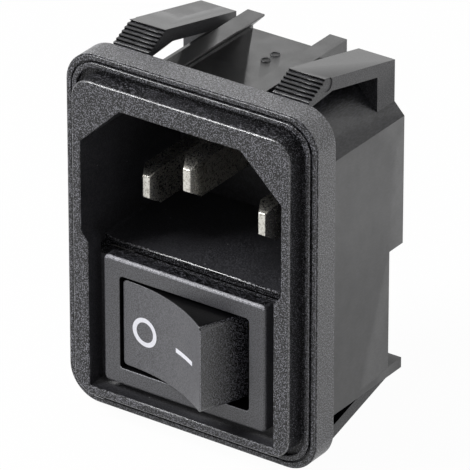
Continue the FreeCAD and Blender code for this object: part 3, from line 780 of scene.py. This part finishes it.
    def on_teeth(self, at: Vector) -> bool:
        """Say whether a place is on the snap arms' teeth.

        Args:
            at: The place, in mm.

        Returns:
            Whether it is.
        """
        front, back = self.teeth
        return front < at.y < back and abs(at.z) > self.body_top + self.teeth_over

    def is_foot(self, vert: bmesh.types.BMVert) -> bool:
        """Say whether a corner is where a tooth's tread meets the next one's riser.

        Args:
            vert: A corner of the housing.

        Returns:
            Whether it is.
        """
        at = vert.co / MM
        if not self.on_teeth(at) or abs(abs(at.x) - self.arm_middle) > self.arm_reach:
            return False
        outwards = 1 if at.z > 0 else -1
        straight, step = 0.01, 0.1
        ways = [edge.other_vert(vert).co / MM - at for edge in vert.link_edges]
        riser = any(abs(way.y) < straight and way.z * outwards > step for way in ways)
        tread = any(abs(way.z) < straight and way.y < -step for way in ways)
        return riser and tread

    def undercut_teeth(self, shape: bmesh.types.BMesh) -> None:
        """Lean each tooth's front back at its foot and cut a slit there.

        Args:
            shape: The merged housing.
        """
        feet = [vert for vert in shape.verts if self.is_foot(vert)]
        bmesh.ops.translate(shape, verts=feet, vec=(0, self.tooth_lean * MM, 0))
        corners = set(feet)
        notches = [edge for edge in shape.edges if corners.issuperset(edge.verts)
                   and abs(edge.verts[0].co.x - edge.verts[1].co.x) > self.notch_wide * MM]
        cut = bmesh.ops.bevel(shape, geom=notches, offset=self.slit / 2 * MM,
                              offset_type="OFFSET", segments=1, profile=0.5, affect="EDGES",
                              clamp_overlap=True, material=-1)
        for floor in cut["faces"]:
            outwards = 1 if floor.calc_center_median().z > 0 else -1
            sunk = bmesh.ops.extrude_discrete_faces(shape, faces=[floor])["faces"]
            verts = {vert for face in sunk for vert in face.verts}
            inwards = -outwards * self.slit * self.slit_deep
            bmesh.ops.translate(shape, verts=list(verts),
                                vec=(0, self.slit * MM, inwards * MM))
        LOG.info("%d corners of the teeth leaned back, %d slits", len(feet), len(notches))

    def finish_of(self, face: bmesh.types.BMFace) -> Finish:
        """Choose a face's finish from where it lies and how it looks.

        Args:
            face: A face of the housing.

        Returns:
            The face's finish.
        """
        at = face.calc_center_median() / MM
        across, back, up = (abs(share) for share in face.normal)
        low, high = self.ledge
        inside = self.is_inside(face)
        arms = abs(at.x) > self.arms_from
        if self.on_ledge(face):
            flash = any(start < at.x < end for start, end in self.flash)
            return Finish.SATIN if flash else Finish.SPARKED
        # The ledge's cove under the opening gets the painted shade.
        if inside and at.y < self.cove_back and low < at.z < high and across < HALF:
            return Finish.COVE
        # Inside the connector: the paler painted light, with real dust.
        if inside and at.y > self.shell_front:
            return Finish.CAVITY
        if at.y < self.flange_back + self.slack:
            return self.bezel_finish(face, at)
        if self.on_teeth(at) and across < HALF:
            return Finish.SATIN if back > SLANTED and up > SLANTED else Finish.SIDES
        if arms and abs(at.z) > self.body_top - self.top_slack:
            return Finish.SIDES if across > STEEPLY else Finish.SATIN
        if across > SLANTED and up > SLANTED:
            return Finish.MILLED
        if arms and across < HARDLY and at.y > self.posts_from and at.z > self.shoulder:
            return Finish.SIDES
        # The long sides get the painted light.
        if across > FACING and abs(at.x) > self.body_side - self.wall_slack:
            return Finish.WALL
        return Finish.SATIN

    def is_inside(self, face: bmesh.types.BMFace) -> bool:
        """Say whether a face is within the width and height of the hollow front.

        Args:
            face: A face of the housing.

        Returns:
            Whether it is.
        """
        wide = max(abs(vert.co.x) for vert in face.verts) / MM
        heights = [vert.co.z for vert in face.verts]
        foot, top = min(heights) / MM, max(heights) / MM
        low, high = self.hollow
        return wide < self.lip + self.slack and foot > low and top < high

    def from_rim(self, place: Vector) -> float:
        """Measure how far a place lies inside the bezel's rounded outline.

        Args:
            place: The place, in mm.

        Returns:
            The distance in mm.
        """
        half_width, half_height, radius = self.outline
        over = max(0.0, abs(place.x) - half_width + radius)
        up = max(0.0, abs(place.z) - half_height + radius)
        straight = min(half_width - abs(place.x), half_height - abs(place.z))
        return radius - math.hypot(over, up) if over and up else straight

    def bezel_finish(self, face: bmesh.types.BMFace, at: Vector) -> Finish:
        """Choose the finish of a face of the bezel.

        Args:
            face: The face.
            at: Its middle, in mm.

        Returns:
            The face's finish.
        """
        # Front faces behind the face's depth, in the grooves, get the cove's painted shade.
        if face.normal.y < -FACING:
            return Finish.FACE if at.y < self.grooves else Finish.COVE
        inner = min(self.from_rim(vert.co / MM) for vert in face.verts) > self.rim_wide
        wall = abs(face.normal.y) < SLANTED
        # The grooves' inner walls get the painted shade too.
        return Finish.COVE if inner and wall else Finish.SPARKED


@dataclass
class Contacts(Inlet):
    """The plate at the cavity's end and the three plated pins that it carries."""

    plate_round: float = 0.06
    pin_round: float = 0.12

    def build(self) -> None:
        """Skin the plate and the pins."""
        self.stand_in("contact_plate", Finish.PLATE, "plate_plastic", self.plate_round)
        for node in ("earth_pin", "line_pin", "neutral_pin"):
            self.stand_in(node, Finish.NICKEL, "plated_pin", self.pin_round)


@dataclass
class Switch(Inlet):
    """The rocker switch: its case, its rocker with two printed marks, and its works.

    Lengths and places are in mm, and tilt, the rocker's turn at rest, is in degrees.
    """

    # The roundings of the case, the rocker and the works.
    case_round: float = 0.1
    rocker_round: float = 0.12
    works_round: float = 0.05
    # The case: the depth behind which it is hidden and painted in shade, the way its frame's
    # upper ridge looks and how close to that its faces do for the painted highlight, and the
    # well's height and its half sizes, inside which it is painted in shade too.
    frame_back: float = -3.0
    ridge_looks: tuple[float, float, float] = (0.0, -0.707, 0.707)
    ridge_from: float = 0.8
    well_at: float = -8.65
    well: tuple[float, float] = (7.9, 5.22)
    # The rocker: its turn, its crown's radius and lowest depth, and how far a face looks
    # the crown's way on its rims, which get the painted highlight, and on the crown itself.
    tilt: float = -18.0
    crown_radius: float = 20.03
    crown_bottom: float = -3.95
    rims: tuple[float, float] = (0.4, 0.9)
    crown_from: float = 0.8
    # The marks: the off ring, the on bar, and the ink's thickness.
    ring_outer: float = 1.6
    ring_inner: float = 1.1
    ring_at: tuple[float, float] = (-3.67, -0.3)
    bar_size: tuple[float, float] = (3.3, 0.5)
    bar_at: tuple[float, float] = (2.72, -0.3)
    ink: float = 0.012
    # A spring: its foot's place along its plunger's slide, and the share of its length
    # that is left when the plunger is in.
    spring_foot: float = -2.633
    spring_keep: float = 0.75

    def build(self) -> None:
        """Skin the case and the rocker, print the marks and dress the works."""
        self.skin_case()
        self.skin_rocker()
        self.print_mark(self.ring(), "rocker_mark_off")
        self.print_mark(self.bar(), "rocker_mark_on")
        width = self.works_round
        for pole in ("line", "neutral"):
            self.stand_in(f"plunger_{pole}", Finish.ACETAL, "plunger_plastic", width)
            self.stand_in(f"spring_{pole}", Finish.STEEL, "spring_steel", 0.0)
            self.shorten_spring(pole)
            self.stand_in(f"bridge_{pole}", Finish.BRASS, "terminal_brass", width)
            for side in ("moving", "fixed"):
                self.stand_in(f"{side}_contact_{pole}", Finish.SILVER, "contact_silver",
                              width)
            for side in ("centre", "load"):
                self.stand_in(f"{side}_terminal_{pole}", Finish.BRASS, "terminal_brass",
                              width)

    def shorten_spring(self, pole: str) -> None:
        """Give a spring's copy a mesh of its own.

        Args:
            pole: The pole's name, line or neutral.
        """
        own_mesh(bpy.data.objects[f"spring_{pole}_skin"])

    def skin_case(self) -> None:
        """Skin the case: fine grain on its frame, a painted highlight on its upper ridge, and
        painted shade on its top, in the well and behind.
        """
        shape = merged_copy(self.frame["nodes"]["switch_case"])
        round_outer_edges(shape, self.case_round)
        dress = [Finish.FRAME, Finish.WELL, Finish.RUBBED, Finish.SHADED]
        dress_faces(shape, dress, self.case_finish)
        skin = finish_mesh(shape, "switch_case_skin", dress)
        self.place(skin, "switch_case", "switch_plastic")

    def case_finish(self, face: bmesh.types.BMFace) -> Finish:
        """Choose the finish of a face of the case.

        Args:
            face: The face.

        Returns:
            The face's finish.
        """
        at = face.calc_center_median() / MM
        half_width, half_height = self.well
        in_well = (abs(at.x) < half_width and abs(at.z - self.well_at) < half_height
                   and abs(face.normal.y) < HALF)
        # Behind the frame and in the well: the painted shade.
        if at.y >= self.frame_back or in_well:
            return Finish.WELL
        # Faces that look along the frame's upper ridge get the painted highlight.
        if face.normal.dot(Vector(self.ridge_looks)) > self.ridge_from:
            return Finish.RUBBED
        # The frame's upward faces get the painted shade.
        return Finish.SHADED if face.normal.z > FACING else Finish.FRAME

    def skin_rocker(self) -> None:
        """Skin the rocker: a smooth crown with a painted highlight on its rims, rough ends,
        and painted shade on its top and bottom.
        """
        shape = merged_copy(self.frame["nodes"]["rocker"])
        round_outer_edges(shape, self.rocker_round)
        dress = [Finish.ROCKER, Finish.ROUGH_END, Finish.WELL, Finish.RUBBED]
        dress_faces(shape, dress, self.rocker_finish)
        skin = finish_mesh(shape, "rocker_skin", dress)
        self.place(skin, "rocker", "rocker_plastic")

    def rocker_finish(self, face: bmesh.types.BMFace) -> Finish:
        """Choose the finish of a face of the rocker.

        Args:
            face: The face.

        Returns:
            The face's finish.
        """
        crown = Matrix.Rotation(math.radians(self.tilt), 3, "Z") @ Vector((0, -1, 0))
        outwards = face.normal.dot(crown)
        upwards = abs(face.normal.z)
        # The rocker's top and bottom get the painted shade.
        if upwards > FACING:
            return Finish.WELL
        least, most = self.rims
        # The crown's rims get the painted highlight.
        if least < outwards <= most and upwards < SLANTED:
            return Finish.RUBBED
        return Finish.ROCKER if outwards > self.crown_from else Finish.ROUGH_END

    def ring(self) -> bmesh.types.BMesh:
        """Shape the off mark, a flat ring.

        Returns:
            The ring in the X-Z plane, in the rocker's own frame.
        """
        shape = bmesh.new()
        bmesh.ops.create_circle(shape, segments=96, radius=self.ring_outer * MM)
        rim = shape.edges[:]
        grown = bmesh.ops.extrude_edge_only(shape, edges=rim)
        inner = [v for v in grown["geom"] if isinstance(v, bmesh.types.BMVert)]
        share = self.ring_inner / self.ring_outer
        bmesh.ops.scale(shape, verts=inner, vec=(share, share, share))
        self.stand_up(shape, self.ring_at)
        return shape

    def bar(self) -> bmesh.types.BMesh:
        """Shape the on mark, a flat bar.

        Returns:
            The bar in the X-Z plane, in the rocker's own frame.
        """
        shape = bmesh.new()
        bmesh.ops.create_grid(shape, x_segments=24, y_segments=2, size=0.5)
        long, wide = self.bar_size
        self.stand_up(shape, self.bar_at, (long * MM, wide * MM))
        return shape

    @staticmethod
    def stand_up(shape: bmesh.types.BMesh, at: tuple[float, float],
                 size: tuple[float, float] = (1.0, 1.0)) -> None:
        """Stand a flat mark up in the X-Z plane.

        Args:
            shape: The mark, lying in the X-Y plane.
            at: Its place across and up, in mm.
            size: What its width and height are multiplied by.
        """
        across, height = at
        stand = Matrix.Translation(Vector((across, 0, height)) * MM)
        stand = stand @ Matrix.Rotation(math.radians(90), 4, "X")
        stand = stand @ Matrix.Diagonal((*size, 1, 1))
        bmesh.ops.transform(shape, matrix=stand, verts=shape.verts[:])

    def print_mark(self, shape: bmesh.types.BMesh, name: str) -> None:
        """Lay a flat mark on the rocker's hollow crown as a film of ink.

        Args:
            shape: The flat mark, in the rocker's own frame.
            name: The piece's name.
        """
        for vert in shape.verts:
            across = vert.co.x / MM
            sag = math.sqrt(self.crown_radius ** 2 - across ** 2) - self.crown_radius
            vert.co.y = (self.crown_bottom + sag - self.ink / 2) * MM
        bmesh.ops.recalc_face_normals(shape, faces=shape.faces[:])
        bmesh.ops.solidify(shape, geom=shape.faces[:], thickness=self.ink * MM)
        hinge = next(j for j in self.frame["joints"] if j["name"] == "rocker_tilt")
        turn = Matrix.Translation(hinge["pos_m"]) @ Matrix.Rotation(
            math.radians(self.tilt), 4, "Z")
        bmesh.ops.transform(shape, matrix=turn, verts=shape.verts[:])
        bmesh.ops.recalc_face_normals(shape, faces=shape.faces[:])
        piece = finish_mesh(shape, name, [Finish.INK])
        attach(piece, "rocker")
        LOG.info("%s is printed on the rocker", name)


@dataclass
class Studio:
    """The floor, the softbox, the white surroundings and the camera.

    Lengths and places are in metres and angles in degrees.
    """

    # The floor: its side, its paper, how bright it shows, and how much of that it shows
    # in a reflection.
    floor_size: float = 8.0
    paper: str = "#ececec"
    floor_glow: float = 0.97
    floor_mirrored: float = 0.6
    # The white room: its level as a lamp, the way to the tent's opening, how far that
    # spreads as a dot product with it, and the opening's level.
    room_level: float = 0.35
    front_opening: tuple[float, float, float] = (0.2, -0.87, 0.45)
    opening_spread: tuple[float, float] = (0.3, 0.85)
    opening_level: float = 0.25
    # The softbox: the way to it, its distance, its side and its power in watts.
    softbox_at: tuple[float, float, float] = (-0.5, -0.47, 0.73)
    softbox_distance: float = 0.6
    softbox_size: float = 0.22
    softbox_power: float = 3.4
    # The camera: its lens on a 36 mm sensor, its place and the angles that it looks from.
    lens: float = 490.4
    camera_at: tuple[float, float, float] = (0.32413, -0.45905, 0.29861)
    elevation: float = 27.852
    azimuth: float = 34.964

    def build(self) -> None:
        """Set the whole stage."""
        self.lay_floor()
        self.surround()
        self.hang_softbox()
        self.aim_camera()

    @staticmethod
    def shown(tree: bpy.types.NodeTree, glossy: float) -> bpy.types.NodeSocket:
        """Give 1 for camera and transmission rays, and a share for glossy ones.

        Args:
            tree: The node tree.
            glossy: What a glossy ray gets.

        Returns:
            The socket with the share.
        """
        path = add_node(tree, "ShaderNodeLightPath").outputs
        mirrored = add_node(tree, "ShaderNodeMath", {1: glossy}, {0: path["Is Glossy Ray"]},
                            operation="MULTIPLY").outputs[0]
        either = add_node(tree, "ShaderNodeMath", None,
                          {0: path["Is Camera Ray"], 1: mirrored},
                          operation="MAXIMUM").outputs[0]
        return add_node(tree, "ShaderNodeMath", None,
                        {0: either, 1: path["Is Transmission Ray"]},
                        operation="MAXIMUM").outputs[0]

    def lay_floor(self) -> None:
        """Lay a white paper floor under the inlet's lowest point."""
        low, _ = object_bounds()
        shape = bmesh.new()
        bmesh.ops.create_grid(shape, x_segments=8, y_segments=8, size=self.floor_size / 2)
        bmesh.ops.translate(shape, vec=(0, 0, low.z), verts=shape.verts[:])
        mesh = bpy.data.meshes.new("floor")
        shape.to_mesh(mesh)
        shape.free()
        material, tree = new_material("white_paper")
        paper = add_node(tree, "ShaderNodeBsdfDiffuse", {"Color": linear(self.paper)})
        glow = add_node(tree, "ShaderNodeEmission", {"Color": (1, 1, 1, 1)})
        seen = add_node(tree, "ShaderNodeMath", {1: self.floor_glow},
                        {0: self.shown(tree, self.floor_mirrored)},
                        operation="MULTIPLY").outputs[0]
        show(tree, add_node(tree, "ShaderNodeMixShader", None,
                            {"Fac": seen, 1: paper.outputs[0], 2: glow.outputs[0]}))
        mesh.materials.append(material)
        floor = bpy.data.objects.new("floor", mesh)
        bpy.context.scene.collection.objects.link(floor)
        floor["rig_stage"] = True

    def surround(self) -> None:
        """Surround the stage with white, dimmer as a lamp than as a backdrop.

        Reflections also show the tent's dimmer opening, round front_opening.
        """
        world = bpy.data.worlds.new("white_room")
        world.use_nodes = True
        tree = world.node_tree
        tree.nodes.clear()
        towards = add_node(tree, "ShaderNodeTexCoord").outputs["Generated"]
        ahead = add_node(tree, "ShaderNodeVectorMath", {1: self.front_opening}, {0: towards},
                         operation="DOT_PRODUCT").outputs["Value"]
        level = add_range(tree, ahead, self.opening_spread, (1.0, self.opening_level),
                          "SMOOTHSTEP")
        dim = add_node(tree, "ShaderNodeBackground", {"Strength": self.room_level})
        tent = add_node(tree, "ShaderNodeBackground", None, {"Strength": level})
        white = add_node(tree, "ShaderNodeBackground")
        for light in (dim, tent, white):
            light.inputs["Color"].default_value = (1, 1, 1, 1)
        rays = add_node(tree, "ShaderNodeLightPath").outputs
        mirrored = add_node(tree, "ShaderNodeMixShader", None,
                            {"Fac": rays["Is Glossy Ray"], 1: dim.outputs[0],
                             2: tent.outputs[0]})
        both = add_node(tree, "ShaderNodeMixShader", None,
                        {"Fac": self.shown(tree, 0.0), 1: mirrored.outputs[0],
                         2: white.outputs[0]})
        add_node(tree, "ShaderNodeOutputWorld", None, {"Surface": both.outputs[0]})
        bpy.context.scene.world = world

    def hang_softbox(self) -> None:
        """Hang the square softbox, facing the inlet."""
        light = bpy.data.lights.new("key_softbox", "AREA")
        light.size = self.softbox_size
        light.energy = self.softbox_power
        lamp = bpy.data.objects.new("key_softbox", light)
        towards = Vector(self.softbox_at)
        lamp.location = towards.normalized() * self.softbox_distance
        lamp.rotation_euler = towards.to_track_quat("Z", "Y").to_euler()
        lamp.visible_camera = False
        bpy.context.scene.collection.objects.link(lamp)

    def aim_camera(self) -> None:
        """Set the camera at its viewing angle."""
        data = bpy.data.cameras.new("camera")
        data.sensor_width = 36.0
        data.lens = self.lens
        camera = bpy.data.objects.new("camera", data)
        camera.location = self.camera_at
        camera.rotation_euler = (math.radians(90 - self.elevation), 0.0,
                                 math.radians(self.azimuth))
        bpy.context.scene.collection.objects.link(camera)
        bpy.context.scene.camera = camera


def main() -> None:
    """Build every piece around the frame and set the stage."""
    logging.basicConfig(level=logging.INFO, format="%(name)s: %(message)s")
    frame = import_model()
    bpy.context.scene.view_settings.view_transform = "Standard"
    for assembly in (Housing(frame), Contacts(frame), Switch(frame)):
        assembly.build()
        LOG.info("%s is dressed", type(assembly).__name__)
    Studio().build()
    bpy.context.view_layer.update()


if __name__ == "__main__":
    main()
